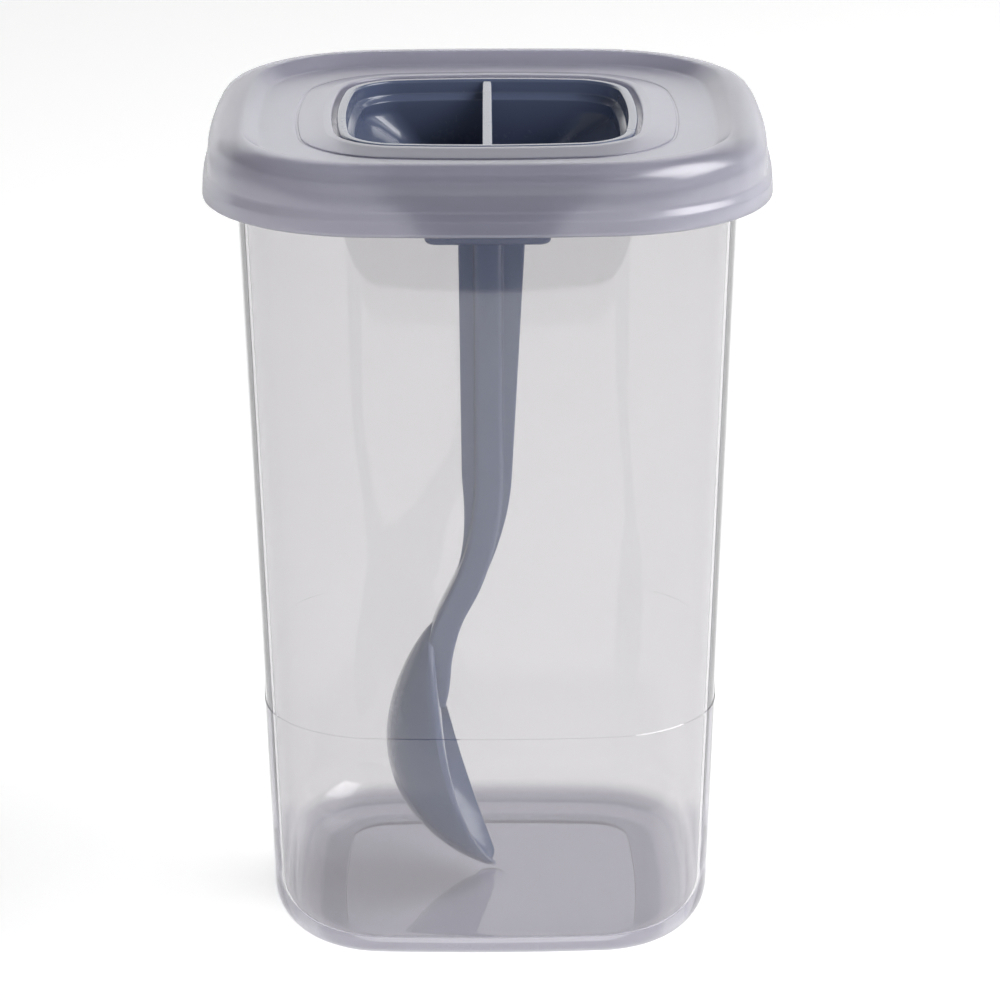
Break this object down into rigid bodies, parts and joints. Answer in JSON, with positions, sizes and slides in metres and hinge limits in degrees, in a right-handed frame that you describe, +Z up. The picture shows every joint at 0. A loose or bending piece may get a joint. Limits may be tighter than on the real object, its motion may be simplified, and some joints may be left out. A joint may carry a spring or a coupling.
{
  "type": "food storage box",
  "caption": "Tall clear rounded-square food storage box with a frosted press-on lid and a grip stopper in the lid that carries a hanging spoon.",
  "frame": {"origin": "on the table under the middle of the box", "axes": "+Z up along the box; -Y towards the picture's camera; +X the way the spoon's bowl opens"},
  "size_m": [0.083, 0.083, 0.1235],
  "materials": {
    "clear_plastic": "clear, glossy",
    "frosted_plastic": "frosted, translucent",
    "slate_plastic": "satin gloss"
  },
  "bodies": {
    "container": {"container": "clear_plastic"},
    "lid": {"lid": "frosted_plastic"},
    "scoop": {"stopper": "slate_plastic", "spoon": "slate_plastic"}
  },
  "joints": [
    {"name": "lid_lift", "type": "slide", "parent": "container", "child": "lid", "axis": [0, 0, 1], "range_m": [0, 0.13]},
    {"name": "scoop_lift", "type": "slide", "parent": "lid", "child": "scoop", "axis": [0, 0, 1], "range_m": [0, 0.125]}
  ]
}
